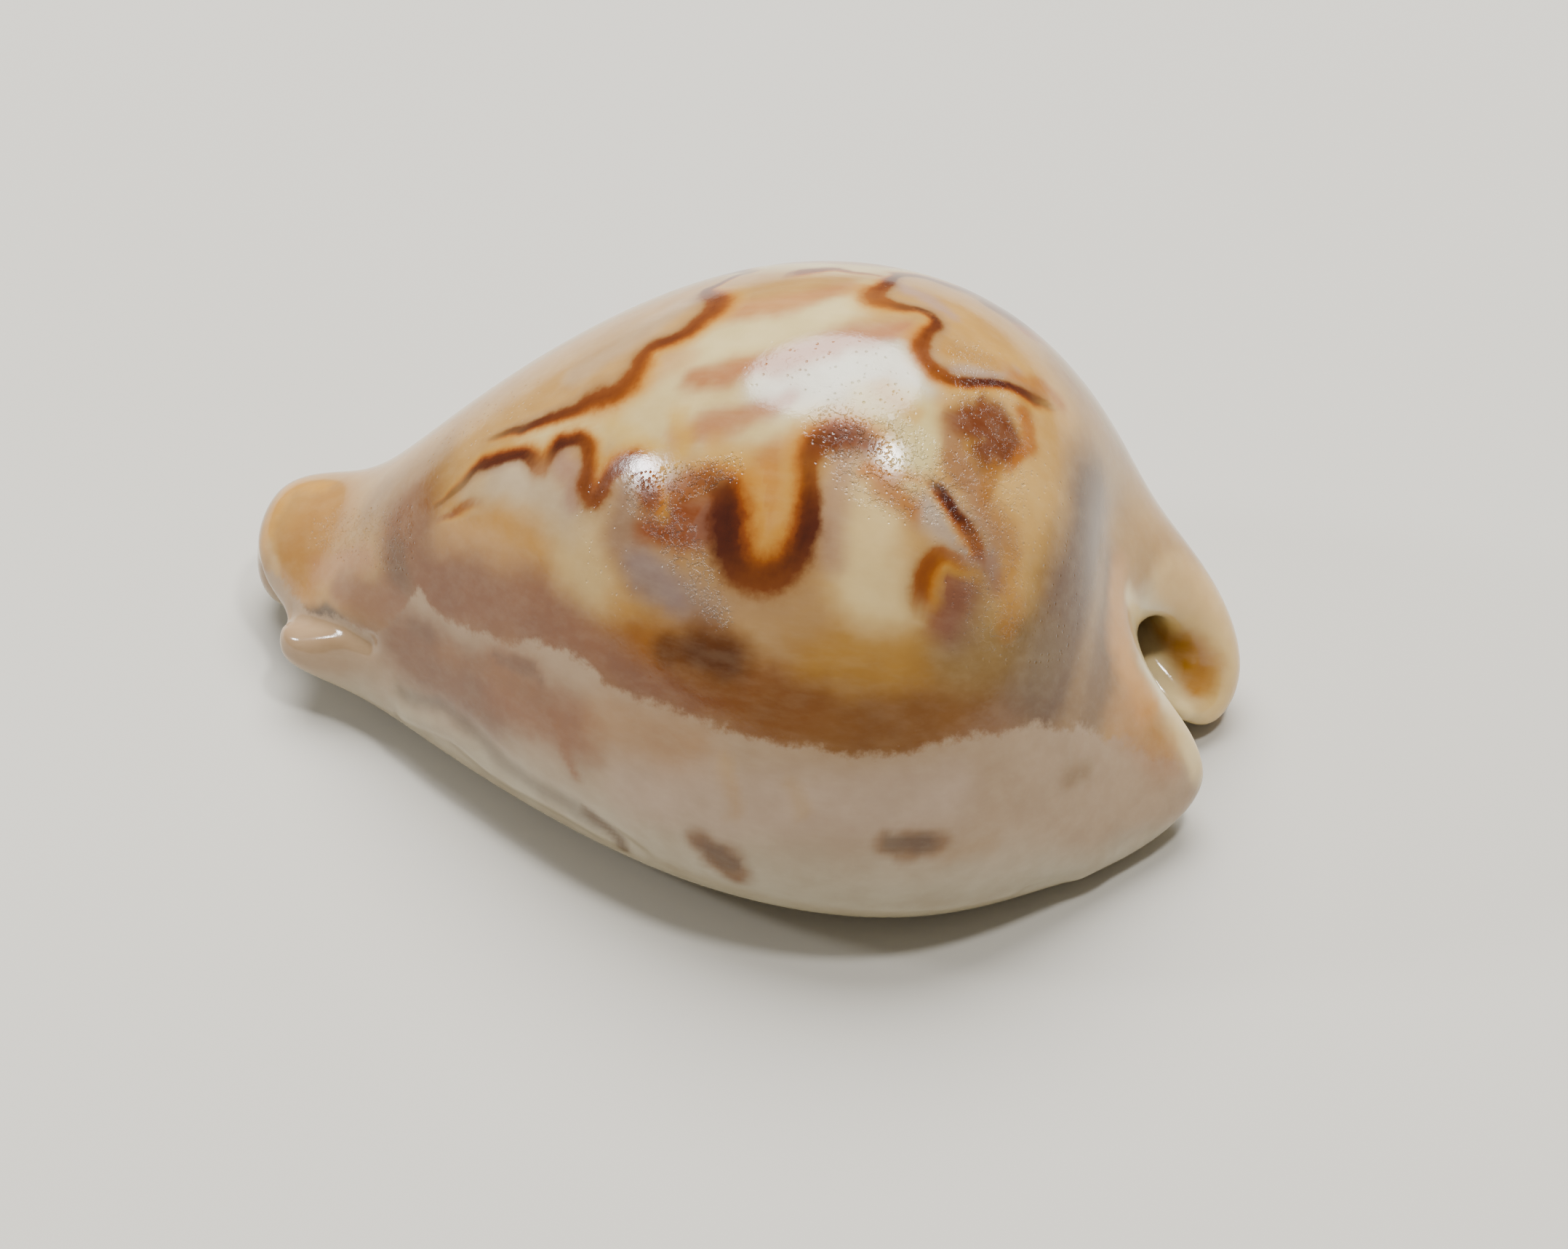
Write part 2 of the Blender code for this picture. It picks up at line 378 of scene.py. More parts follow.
PX = DISTANCE / (LENS / SENSOR * PHOTO_WIDTH)  # millimetres in one pixel, at AIM
STEP = 5.0  # px between the samples of a stroke
BEYOND = 0.3  # millimetres by which a stroke runs past its ends


def stroke(tree, rows, side=1):
    """Samples of a stroke: points, tangents, normals and the rows' other numbers."""
    fine = eased(rows, STEP)
    points, normals = cast(tree, fine[:, :2], side)
    tangents = np.gradient(points, axis=0) if len(points) > 1 else np.zeros((1, 3))
    size = np.linalg.norm(tangents, axis=1)
    size[size == 0] = 1.0
    return points, tangents / size[:, None], normals, fine[:, 2:]


def distance(co, points, tangents, reach):
    """For each vertex within reach: distance to the stroke and its nearest sample."""
    low, high = points.min(axis=0) - reach, points.max(axis=0) + reach
    near = np.nonzero(((co > low) & (co < high)).all(axis=1))[0]
    best = np.full(len(near), 1e9)
    which = np.zeros(len(near), int)
    for i, p in enumerate(points):
        d = ((co[near] - p) ** 2).sum(axis=1)
        closer = d < best
        best[closer] = d[closer]
        which[closer] = i
    off = co[near] - points[which]
    if len(points) > 1:
        gap = np.linalg.norm(np.diff(points, axis=0), axis=1).mean()
        along = (off * tangents[which]).sum(axis=1)
        inner = (which > 0) & (which < len(points) - 1)
        most = np.where(inner, gap, BEYOND)
        along = np.clip(along, -most, most)
        off = off - along[:, None] * tangents[which]
    return near, np.linalg.norm(off, axis=1), which, off


def smooth(t):
    """0 below 0, 1 above 1, eased in between."""
    t = np.clip(t, 0.0, 1.0)
    return t * t * (3 - 2 * t)


# Low relief of the margin and the lips. Each: height in mm (below 0 is a groove),
# width in px, and the places.
RELIEF = (
    (-0.20, 22, ((560, 955), (617, 975), (670, 1020), (705, 1053), (790, 1107), (843, 1145),
        (870, 1165))),
    (0.22, 22, ((560, 985), (620, 1010), (680, 1060), (760, 1105), (820, 1140))),
    (-0.35, 20, ((398, 846), (430, 852), (465, 862), (500, 880))),
    (0.16, 26, ((1494, 1200), (1520, 1184))),
    (-0.18, 22, ((1545, 1165), (1570, 1150))),
    (-0.12, 22, ((1440, 1216), (1420, 1222))),
    (0.22, 15, ((1566, 872), (1578, 905), (1596, 945), (1622, 980))),
)


RELIEF_FALL = 1.6


def press_relief(mesh, tree):
    """The low relief, pushed along the normals of the mesh."""
    co, no = points_of(mesh), normals_of(mesh)
    push = np.zeros(len(co))
    for height, width, places in RELIEF:
        points, tangents, _, _ = stroke(tree, places)
        near, d, _, _ = distance(co, points, tangents, 3 * width * PX)
        push[near] += height * np.exp(-((d / (width * PX)) ** 2) * RELIEF_FALL)
    co = co + no * push[:, None]
    co[:, 2] = np.maximum(co[:, 2], 0.0)
    set_points(mesh, co)


# Soft marks on the near side, painted in this order. Each: colour, strength,
# softness in px, and places with their radii, in px.
SOFT = (
    # broad fields of the flank, front to rear; the two dark browns are partly the shell's
    # brown and partly painted shade
    ("#c89660", 0.8, 60, ((640, 735, 20), (720, 740, 35), (790, 770, 45), (820, 830, 20))),
    ("#854c22", 0.92, 45, ((590, 800, 34), (660, 820, 40), (740, 845, 40), (820, 890, 20),
        (900, 935, 14), (1000, 955, 18), (1080, 960, 30))),
    ("#8c5c38", 0.85, 45, ((1080, 975, 30), (1180, 990, 30), (1290, 990, 30), (1360, 985, 24))),
    ("#d8bc94", 0.85, 40, ((800, 700, 20), (790, 740, 30), (810, 790, 20))),
    ("#b89474", 0.8, 40, ((1010, 850, 16), (1060, 862, 24), (1100, 858, 20))),
    ("#e6ca9e", 0.97, 34, ((1180, 710, 40), (1190, 790, 36), (1220, 840, 26))),
    ("#b4864c", 0.85, 36, ((1130, 905, 14), (1180, 905, 22), (1250, 905, 22))),
    ("#a8845c", 0.7, 60, ((1350, 860, 30), (1400, 760, 30))),
    ("#dcb27c", 0.9, 60, ((1440, 600, 60), (1410, 700, 40), (1400, 800, 20))),
    ("#d2a468", 0.88, 50, ((1340, 440, 34), (1420, 520, 30), (1480, 620, 20))),
    ("#6a4424", 0.95, 50, ((1500, 690, 54), (1495, 740, 50), (1465, 850, 56), (1440, 940, 50))),
    ("#755032", 0.8, 40, ((1530, 800, 16), (1520, 900, 24), (1500, 980, 16))),
    ("#8c7458", 0.6, 50, ((1340, 900, 30), (1420, 900, 30))),
    # cream of the back, with the overhead lamp's painted highlight in it
    ("#ddc69c", 0.95, 22, ((730, 598, 4), (780, 588, 10), (830, 580, 22), (880, 572, 36),
        (940, 560, 50), (1010, 570, 50), (1080, 560, 50))),
    ("#e2cfa6", 0.95, 26, ((940, 510, 26), (990, 470, 30), (1060, 450, 40), (1150, 420, 26),
        (1190, 395, 10))),
    # Greyish white: painted highlight, the overhead lamp's reflection on the cream back.
    ("#dcd8c8", 0.95, 34, ((1080, 530, 24), (1150, 510, 46), (1220, 490, 36), (1250, 510, 20))),
    ("#dcc898", 0.9, 24, ((1200, 555, 16), (1250, 560, 26), (1262, 610, 22), (1255, 640, 12))),
    ("#cdb294", 0.9, 30, ((650, 672, 6), (700, 660, 18), (740, 680, 22), (780, 710, 18))),
    ("#c6b4a2", 0.6, 24, ((690, 658, 8), (740, 668, 14), (770, 690, 14))),
    ("#cfa27c", 0.6, 30, ((905, 505, 10), (935, 492, 10))),
    ("#b9a69c", 0.8, 24, ((1290, 712, 12), (1310, 735, 10), (1330, 758, 4))),
    # pink bands of the back
    ("#c48c68", 0.88, 20, ((1005, 425, 14), (1060, 422, 14), (1110, 408, 12), (1165, 394, 8))),
    ("#b3765a", 0.9, 18, ((955, 522, 8), (985, 518, 14), (1020, 510, 10), (1040, 506, 6))),
    ("#ba7c5e", 0.9, 20, ((1080, 500, 12), (1130, 480, 12), (1170, 462, 11), (1240, 458, 12))),
    ("#b67c62", 0.9, 18, ((940, 592, 6), (980, 582, 11), (1030, 570, 11), (1075, 552, 6))),
    ("#c08858", 0.85, 18, ((1030, 655, 8), (1060, 630, 11), (1095, 610, 11))),
    ("#d2a75c", 0.7, 14, ((932, 572, 4), (938, 600, 8), (930, 625, 6))),
    ("#d6b26e", 0.6, 14, ((842, 590, 8), (870, 600, 8), (900, 612, 6))),
    ("#d0a05c", 0.6, 16, ((1222, 540, 8), (1250, 560, 6))),
    ("#cf9a4c", 0.5, 14, ((990, 610, 8), (1020, 620, 6))),
    # mauve washes outside the dark lines
    ("#b08c82", 0.85, 16, ((775, 640, 10), (790, 650, 12), (785, 680, 10))),
    ("#94776c", 0.85, 32, ((866, 680, 10), (856, 730, 18), (885, 780, 20), (925, 812, 22),
        (965, 838, 10))),
    ("#8f7f84", 0.5, 26, ((885, 790, 12), (920, 815, 14))),
    ("#b28e7c", 0.8, 22, ((1160, 650, 12), (1150, 700, 12), (1140, 760, 8))),
    ("#967870", 0.7, 18, ((1345, 655, 8), (1345, 700, 12), (1362, 735, 8))),
    ("#b07a54", 0.6, 20, ((1330, 650, 10), (1375, 720, 14), (1385, 760, 8))),
    ("#c8b09c", 0.6, 26, ((800, 510, 8), (860, 470, 12), (930, 425, 14))),
    ("#bb9c98", 0.7, 14, ((1250, 398, 5), (1275, 410, 5), (1300, 428, 4))),
    ("#b09890", 0.7, 10, ((1320, 508, 4), (1350, 512, 5), (1390, 512, 5))),
    ("#c08c50", 0.7, 12, ((1310, 480, 4), (1345, 492, 6), (1380, 506, 4))),
    ("#b4732e", 0.8, 14, ((1400, 522, 5), (1430, 535, 8), (1452, 548, 5))),
    ("#a86a2c", 0.8, 12, ((1408, 556, 4), (1412, 566, 5))),
    ("#b88a52", 0.7, 14, ((1290, 462, 4), (1320, 482, 6), (1350, 494, 5))),
    ("#cc8e48", 0.75, 14, ((1056, 670, 20), (1056, 725, 20))),
    # brown patches
    ("#8a4628", 0.95, 16, ((900, 722, 20), (925, 722, 36), (955, 712, 44), (980, 700, 30))),
    ("#97541e", 0.9, 12, ((900, 678, 10), (930, 670, 10), (975, 652, 8))),
    ("#80503c", 0.85, 14, ((1125, 612, 10), (1160, 608, 14), (1190, 615, 8))),
    ("#ad6c38", 0.85, 16, ((1210, 660, 8), (1225, 682, 14), (1250, 700, 6))),
    ("#c07c34", 0.7, 10, ((1205, 650, 5), (1260, 655, 5))),
    ("#9c6e54", 0.85, 14, ((1312, 590, 10), (1318, 625, 12), (1325, 655, 8))),
    ("#9a6a34", 0.8, 12, ((1345, 600, 14), (1350, 630, 12))),
    ("#74381e", 0.95, 9, ((1338, 580, 30), (1362, 586, 44), (1378, 604, 40), (1366, 622, 22))),
    ("#783c22", 0.7, 8, ((1348, 556, 3), (1352, 545, 3))),
    ("#b0681c", 0.85, 10, ((1408, 574, 6), (1418, 596, 10), (1410, 620, 10), (1392, 638, 6))),
    ("#ac7028", 0.7, 12, ((1368, 650, 6), (1360, 672, 5))),
    ("#9c6228", 0.85, 30, ((880, 880, 12), (930, 892, 16), (985, 895, 18))),
    ("#70400f", 0.95, 14, ((925, 896, 20), (960, 893, 40), (988, 903, 44))),
    ("#5c2f08", 0.6, 16, ((972, 898, 16), (988, 903, 20))),
    ("#8d5e3a", 0.5, 16, ((940, 925, 8), (1000, 950, 8))),
    # hook at the rear
    ("#94563c", 0.9, 18, ((1290, 800, 16), (1308, 812, 24), (1300, 850, 16))),
    ("#80605e", 0.5, 32, ((1335, 800, 12), (1325, 830, 16), (1315, 862, 10))),
    ("#8c6a70", 0.6, 14, ((1358, 775, 6), (1368, 800, 6))),
    ("#b8782c", 0.45, 22, ((1388, 800, 6), (1392, 830, 8), (1392, 855, 6))),
    ("#b4823c", 0.7, 12, ((1300, 775, 6), (1330, 785, 4))),
    # front neck and lobes
    ("#a07a52", 0.85, 40, ((600, 630, 20), (560, 670, 24), (520, 690, 20))),
    ("#87552f", 0.95, 36, ((575, 705, 30), (550, 745, 44), (545, 790, 20))),
    ("#70503a", 0.6, 20, ((545, 770, 14), (548, 795, 14))),
    ("#be8e60", 0.9, 40, ((440, 720, 50), (410, 760, 36), (420, 800, 10))),
    ("#bc886a", 0.7, 20, ((440, 780, 10), (475, 775, 14), (500, 770, 8))),
    ("#dba766", 0.8, 18, ((440, 668, 6), (400, 674, 8), (376, 705, 8), (366, 740, 6))),
    ("#d4b084", 0.7, 14, ((372, 760, 5), (378, 800, 5), (392, 825, 3))),
    ("#95644a", 0.85, 26, ((470, 815, 6), (510, 825, 14), (545, 835, 10))),
    # Dark grey-brown in the crease between the front lobes: painted shade, the far lobe's shadow
    # on the near one.
    ("#5e483a", 0.85, 14, ((410, 842, 3), (440, 848, 9), (470, 862, 9), (505, 885, 4))),
    ("#c09c6a", 0.9, 20, ((410, 880, 12), (440, 905, 14), (480, 915, 10))),
    ("#ad8f70", 0.6, 26, ((560, 900, 12), (600, 930, 14), (640, 960, 8))),
    ("#b3906e", 0.6, 24, ((1600, 1065, 12), (1560, 1080, 14))),
)

# The ragged upper edge of the floor's painted reflection on the near side. Below it
# the shell is pale: partly its own pale margin, partly painted floor reflection.
REFLECTION_EDGE_LINE = (
    (400, 812), (455, 842), (505, 866), (540, 862), (572, 815), (600, 838), (640, 864),
    (690, 888), (744, 884), (798, 916), (852, 949), (916, 976), (970, 990), (1078, 1019),
    (1164, 1037), (1240, 1035), (1326, 1019), (1391, 1002), (1434, 992), (1466, 997),
    (1509, 1008), (1560, 1030), (1620, 1050),
)

# Soft marks below that line, on the pale margin and the floor's painted reflection.
HEM_AND_REFLECTION_MARKS = (
    ("#845028", 0.9, 44, ((560, 885, 34), (610, 925, 44), (670, 960, 40))),
    ("#94581e", 0.85, 36, ((700, 940, 40), (740, 975, 40), (790, 1000, 24))),
    ("#b08058", 0.6, 40, ((850, 1000, 30), (930, 1030, 30))),
    ("#c8aea0", 0.7, 40, ((880, 1090, 30), (1010, 1110, 30), (1160, 1110, 30), (1290, 1095, 24))),
    ("#7d5032", 0.8, 10, ((572, 862, 6), (586, 868, 8), (598, 880, 6))),
    ("#96643c", 0.75, 22, ((610, 895, 6), (655, 915, 10), (700, 930, 12), (740, 955, 6))),
    ("#7c4e30", 0.8, 9, ((690, 902, 4), (715, 912, 6), (738, 928, 3))),
    ("#9a6236", 0.85, 16, ((760, 985, 3), (774, 1010, 6), (781, 1035, 8), (786, 1055, 3))),
    # Grey line along the groove of the margin: painted shade in the groove.
    ("#665a54", 0.4, 16, ((560, 952, 2), (617, 975, 3), (665, 1020, 4), (705, 1055, 4),
        (790, 1108, 3), (830, 1135, 2))),
    ("#6e4f30", 0.8, 11, ((812, 1118, 3), (838, 1140, 5), (856, 1162, 5))),
    ("#865818", 0.97, 12, ((972, 1162, 18), (990, 1178, 36), (1006, 1194, 24))),
    ("#5e3c10", 0.6, 9, ((984, 1173, 16), (996, 1182, 16))),
    ("#8a5c1a", 0.95, 12, ((1226, 1164, 16), (1250, 1164, 30), (1274, 1162, 18))),
    ("#5a380e", 0.7, 9, ((1238, 1160, 14), (1262, 1159, 16))),
    ("#bd9468", 0.5, 16, ((1003, 1055, 3), (1003, 1110, 4))),
    ("#bd9a74", 0.5, 14, ((1094, 1085, 3), (1098, 1115, 4))),
    ("#b08a66", 0.4, 20, ((1310, 1175, 5), (1350, 1165, 5))),
    ("#96744e", 0.7, 20, ((1478, 1064, 6), (1488, 1058, 4))),
)

# Soft marks of the rear canal's lips and of its hollow.
LIPS = (
    ("#ecc596", 0.96, 24, ((1610, 800, 30), (1650, 830, 50), (1690, 880, 60), (1700, 930, 50),
        (1690, 980, 30))),
    ("#f2cf98", 0.97, 20, ((1590, 870, 30), (1620, 880, 50), (1660, 920, 50), (1665, 965, 30))),
    # Golden brown in the hollow: partly its colour, partly painted shade of the bowl.
    ("#c08434", 0.92, 20, ((1588, 905, 34), (1615, 908, 50), (1640, 925, 40), (1630, 950, 20))),
    ("#e0a872", 0.85, 24, ((1538, 800, 20), (1538, 860, 24), (1550, 920, 24), (1572, 962, 20))),
    ("#b47a52", 0.45, 34, ((1548, 985, 20), (1578, 1005, 20), (1600, 1040, 16))),
    ("#f4dcb4", 0.98, 14, ((1556, 825, 10), (1577, 890, 18), (1602, 950, 26), (1632, 1000, 30),
        (1644, 1030, 18))),
)

# Soft marks of the far side, above and below its ragged line, which ends the floor's
# painted reflection as on the near side. They are places in the frame that mirrors
# the photograph's.
FAR_SOFT = (
    ("#d8bc94", 0.85, 40, ((740, 700, 36), (800, 720, 36))),
    ("#e2cfa6", 0.95, 34, ((960, 640, 24), (1050, 620, 36), (1120, 650, 36), (1060, 700, 60),
        (1000, 740, 40))),
    ("#dcc898", 0.9, 30, ((1150, 720, 24), (1160, 800, 40), (1150, 860, 30))),
    ("#b3765a", 0.85, 20, ((1000, 665, 14), (1060, 655, 18), (1110, 668, 12))),
    ("#ba7c5e", 0.8, 18, ((985, 712, 12), (1030, 702, 14), (1075, 705, 10))),
    ("#94787a", 0.75, 30, ((930, 850, 18), (960, 890, 24), (1000, 920, 18))),
    # Brown low on the far flank: partly the shell's colour, partly painted shade.
    ("#854c22", 0.9, 45, ((600, 850, 30), (700, 920, 40), (850, 980, 34), (1000, 1010, 36),
        (1180, 1010, 36), (1340, 970, 34))),
    ("#9c6228", 0.85, 34, ((820, 900, 24), (880, 920, 30), (930, 930, 24))),
    ("#70400f", 0.9, 14, ((855, 905, 24), (890, 915, 34))),
    ("#74381e", 0.92, 12, ((1290, 700, 30), (1315, 725, 38), (1300, 750, 24))),
    ("#b0681c", 0.8, 12, ((1340, 700, 8), (1352, 730, 10))),
    ("#a47a4e", 0.7, 50, ((1420, 760, 44), (1440, 860, 44))),
)
FAR_HEM_AND_REFLECTION_MARKS = (
    ("#7c4c1a", 0.95, 10, ((900, 1100, 22), (920, 1116, 34))),
    ("#865622", 0.92, 10, ((1180, 1130, 22), (1212, 1132, 30))),
    ("#a4703e", 0.7, 36, ((680, 1010, 30), (740, 1040, 30))),
)

# The dark zigzag lines of the back. Each row: place and half width in px,
# strength, and tone from 0 (amber) to 1 (near black). The cream of the back lies
# on the left of the line's way if the sign is 1, on its right if it is -1.
LINES = (
    (-1, ((660, 606, 2, 0, 0.9), (690, 598, 4, 0.7, 0.9), (722, 588, 6, 0.95, 0.9),
        (745, 580, 7, 1, 0.8), (768, 571, 8, 1, 0.7), (790, 562, 10, 1, 0.6),
        (812, 550, 14, 1, 0.5), (838, 543, 15, 1, 0.45), (858, 530, 16, 1, 0.4),
        (874, 510, 14, 1, 0.3), (884, 490, 12, 1, 0.35), (898, 476, 10, 1, 0.5),
        (920, 468, 9, 1, 0.65), (942, 458, 11, 1, 0.5), (962, 442, 13, 1, 0.4),
        (980, 426, 14, 1, 0.35), (985, 412, 14, 1, 0.35), (972, 401, 9, 1, 0.6),
        (988, 391, 5, 1, 0.6), (1008, 381, 5, 1, 0.6), (1030, 374, 5, 0.6, 0.5))),
    (1, ((588, 702, 2, 0, 1), (612, 686, 3, 0.5, 1), (636, 664, 5, 0.6, 1), (652, 646, 6, 0.9, 1),
        (672, 635, 7, 1, 0.9), (698, 627, 7, 1, 0.9), (720, 623, 8, 1, 0.9),
        (733, 632, 9, 0.9, 0.5), (743, 645, 9, 0.7, 0), (752, 634, 8, 0.8, 0.4),
        (763, 616, 9, 1, 0.9), (780, 607, 8, 1, 0.9), (798, 604, 8, 1, 0.7), (808, 616, 9, 1, 0.4),
        (808, 645, 11, 1, 0.4), (806, 668, 13, 1, 0.4), (815, 683, 14, 1, 0.4),
        (828, 672, 12, 1, 0.45), (838, 653, 10, 1, 0.5), (853, 640, 10, 1, 0.5),
        (870, 634, 10, 1, 0.5), (884, 650, 11, 1, 0.4), (893, 680, 12, 1, 0.4))),
    (1, ((940, 668, 10, 0, 0.6), (975, 660, 14, 0.6, 0.6), (996, 676, 18, 1, 0.8),
        (1000, 705, 21, 1, 1), (1001, 735, 22, 1, 1), (1006, 762, 22, 1, 0.9),
        (1022, 785, 21, 1, 0.6), (1050, 793, 20, 1, 0.5), (1078, 783, 19, 1, 0.6),
        (1096, 762, 17, 1, 0.8), (1106, 735, 15, 1, 0.95), (1112, 705, 13, 1, 0.9),
        (1113, 678, 12, 1, 0.7), (1111, 652, 11, 0.95, 0.45), (1112, 628, 12, 0.9, 0.45),
        (1124, 608, 14, 0.95, 0.6), (1150, 599, 15, 1, 0.7), (1180, 600, 14, 0.9, 0.6),
        (1200, 612, 10, 0.6, 0.4), (1208, 635, 8, 0, 0.2))),
    (-1, ((1272, 655, 3, 0, 1), (1286, 668, 5, 0.8, 1), (1300, 686, 6, 1, 1), (1314, 706, 6, 1, 1),
        (1327, 722, 7, 1, 0.8), (1337, 738, 8, 0.9, 0.4), (1345, 755, 8, 0.9, 0.2),
        (1346, 772, 7, 0.6, 0.3), (1350, 790, 5, 0, 0.3))),
    (-1, ((1238, 377, 5, 0.8, 1), (1228, 384, 6, 1, 0.9), (1212, 396, 10, 1, 0.3),
        (1202, 408, 13, 0.95, 0.1), (1218, 416, 11, 0.95, 0.15), (1240, 422, 7, 0.9, 0.6),
        (1262, 425, 6, 0.9, 1), (1280, 433, 7, 0.9, 1), (1288, 444, 7, 1, 0.8),
        (1276, 458, 8, 1, 0.6), (1267, 474, 10, 1, 0.4), (1272, 492, 10, 1, 0.3),
        (1286, 508, 10, 1, 0.3), (1304, 520, 9, 1, 0.4), (1326, 525, 7, 1, 0.8),
        (1350, 526, 6, 1, 1), (1378, 529, 6, 1, 1), (1402, 537, 6, 1, 0.9),
        (1420, 547, 8, 0.9, 0.8), (1440, 556, 6, 0.5, 1), (1455, 562, 4, 0, 1))),
    (1, ((1342, 778, 6, 0, 0), (1322, 772, 7, 0.5, 0), (1303, 763, 7, 0.8, 0),
        (1285, 766, 9, 0.95, 0.1), (1273, 784, 10, 1, 0.15), (1266, 804, 10, 1, 0.15),
        (1264, 824, 10, 0.8, 0.1), (1264, 850, 8, 0, 0))),
    (-1, ((600, 716, 3, 0, 0), (618, 708, 3, 0.8, 0.15), (634, 697, 5, 0.8, 0),
        (652, 690, 5, 0.4, 0), (668, 688, 4, 0, 0))),
    (-1, ((1075, 382, 6, 0, 0.2), (1096, 375, 9, 1, 0.3), (1120, 372, 9, 1, 0.4),
        (1145, 370, 7, 1, 0.3), (1170, 374, 4, 0.9, 0), (1205, 378, 3, 0.6, 0))),
)


DEPTH = 0.86  # surface red that shows as full red
RED_POWER, GREEN_POWER, BLUE_POWER = 1.124, 1.14, 1.45
SOFTNESS = 1.3  # share of the softness in the tables


def rgb(code):
    """Surface colour that the studio's light shows as about an sRGB code."""
    parts = np.array([int(code[i:i + 2], 16) / 255 for i in (1, 3, 5)])
    shown = np.where(parts <= 0.04045, parts / 12.92, ((parts + 0.055) / 1.055) ** 2.4)
    red = DEPTH * shown[0] ** RED_POWER
    green = red * (shown[1] / shown[0]) ** GREEN_POWER
    blue = red * (shown[2] / shown[0]) ** BLUE_POWER
    return np.array((red, green, blue))


def blend(colours, weight, code):
    """The colours drawn towards a code, by each vertex's weight."""
    colours += weight[:, None] * (rgb(code) - colours)


def crest(co):
    """Height of the crest over each vertex's place along the shell."""
    bins = np.linspace(-31.5, 31.5, 64)
    place = np.digitize(co[:, 0], bins)
    tops = np.array([co[place == i, 2].max(initial=0.0) for i in range(65)])
    middles = np.concatenate([[bins[0]], (bins[1:] + bins[:-1]) / 2, [bins[-1]]])
    known = tops > 0
    return np.interp(co[:, 0], middles[known], tops[known])


def wobble(co, size, amount, shift=0.0):
    """The points moved by up to about amount mm, in swirls of about size mm."""
    moved = [noise.noise_vector(Vector(p) / size + Vector((shift, 0, 0))) for p in co]
    return co + amount * np.array(moved)


def edge_height(co, tree, top):
    """Height above the ragged line where the brown flank ends and the floor's painted reflection
    begins, in mm.
    """
    points, _ = cast(tree, eased(REFLECTION_EDGE_LINE, STEP)[:, :2])
    order = np.argsort(points[:, 0])
    near = np.interp(co[:, 0], points[order, 0], points[order, 2])
    far = top * 0.48 + 1.2 * np.sin(co[:, 0] * 0.35) + 0.7 * np.sin(co[:, 0] * 0.9 + 1)
    share = smooth((co[:, 1] + 6) / 12)
    return co[:, 2] - (near + share * (far - near))


def paint(colours, co, no, tree, marks, side=1):
    """Soft marks laid over the vertices' colours one after another."""
    for code, strength, soft, places in marks:
        points, tangents, normals, more = stroke(tree, places, side)
        radius = more[:, 0] * PX
        fade = soft * PX * SOFTNESS
        near, d, which, _ = distance(co, points, tangents, radius.max() + fade)
        core = 0.5 * radius[which]
        weight = strength * smooth(1 - (d - core) / (core + fade))
        facing = (no[near] * normals[which]).sum(axis=1)
        full = np.zeros(len(co))
        full[near] = weight * smooth((facing + 0.7) / 0.6)
        blend(colours, full, code)


def in_canal(co):
    """1 on the rear canal's inside, 0 away from it."""
    away = np.hypot(co[:, 1] - 1.0, co[:, 2] - 7.0)
    return smooth((7.0 - away) / 2) * smooth((co[:, 0] - 18) / 4)


# The two grounds, above and below the ragged edge of the painted floor reflection: the
# colour all over, the band low on the flank (its top as a share of the crest's height,
# strength and colour), the underside's colour, and the soft marks of the near and of
# the far side. Above the edge the band is a darker brown, partly the shell's own and
# partly painted shade; below it the ground is the pale margin with the floor's painted
# reflection.
Ground = namedtuple("Ground", "colour top strength band under marks far_marks")
# Above the edge: its low band is partly the flank's brown and partly painted shade.
ABOVE_REFLECTION_EDGE = Ground("#c39a6a", 0.74, 0.85, "#8e6038", "#d8c8a8", SOFT + LIPS, FAR_SOFT)
# Below the edge: the pale margin, pinkish with the floor's painted reflection.
HEM_AND_REFLECTION_GROUND = Ground("#b99c86", 0.40, 0.9, "#c6bbaa", "#d8ccb4", HEM_AND_REFLECTION_MARKS + LIPS, FAR_HEM_AND_REFLECTION_MARKS)
BAND_FADE = 0.24
CANAL_COLOUR = "#f0e2c4"


def paint_ground(ground, co, no, tree, crest_height):
    """Soft colour of every vertex, as it is on one of the two grounds."""
    q = co[:, 2] / crest_height
    colours = np.tile(rgb(ground.colour), (len(co), 1))
    # Band low on the side: above the edge a darker brown, partly the shell's own and partly
    # painted shade.
    blend(colours, smooth((ground.top - q) / BAND_FADE) * ground.strength, ground.band)
    blend(colours, smooth((-no[:, 2] - 0.25) / 0.5), ground.under)
    blend(colours, in_canal(co), CANAL_COLOUR)
    paint(colours, co, no, tree, ground.marks)
    paint(colours, co, no, tree, ground.far_marks, -1)
    return colours


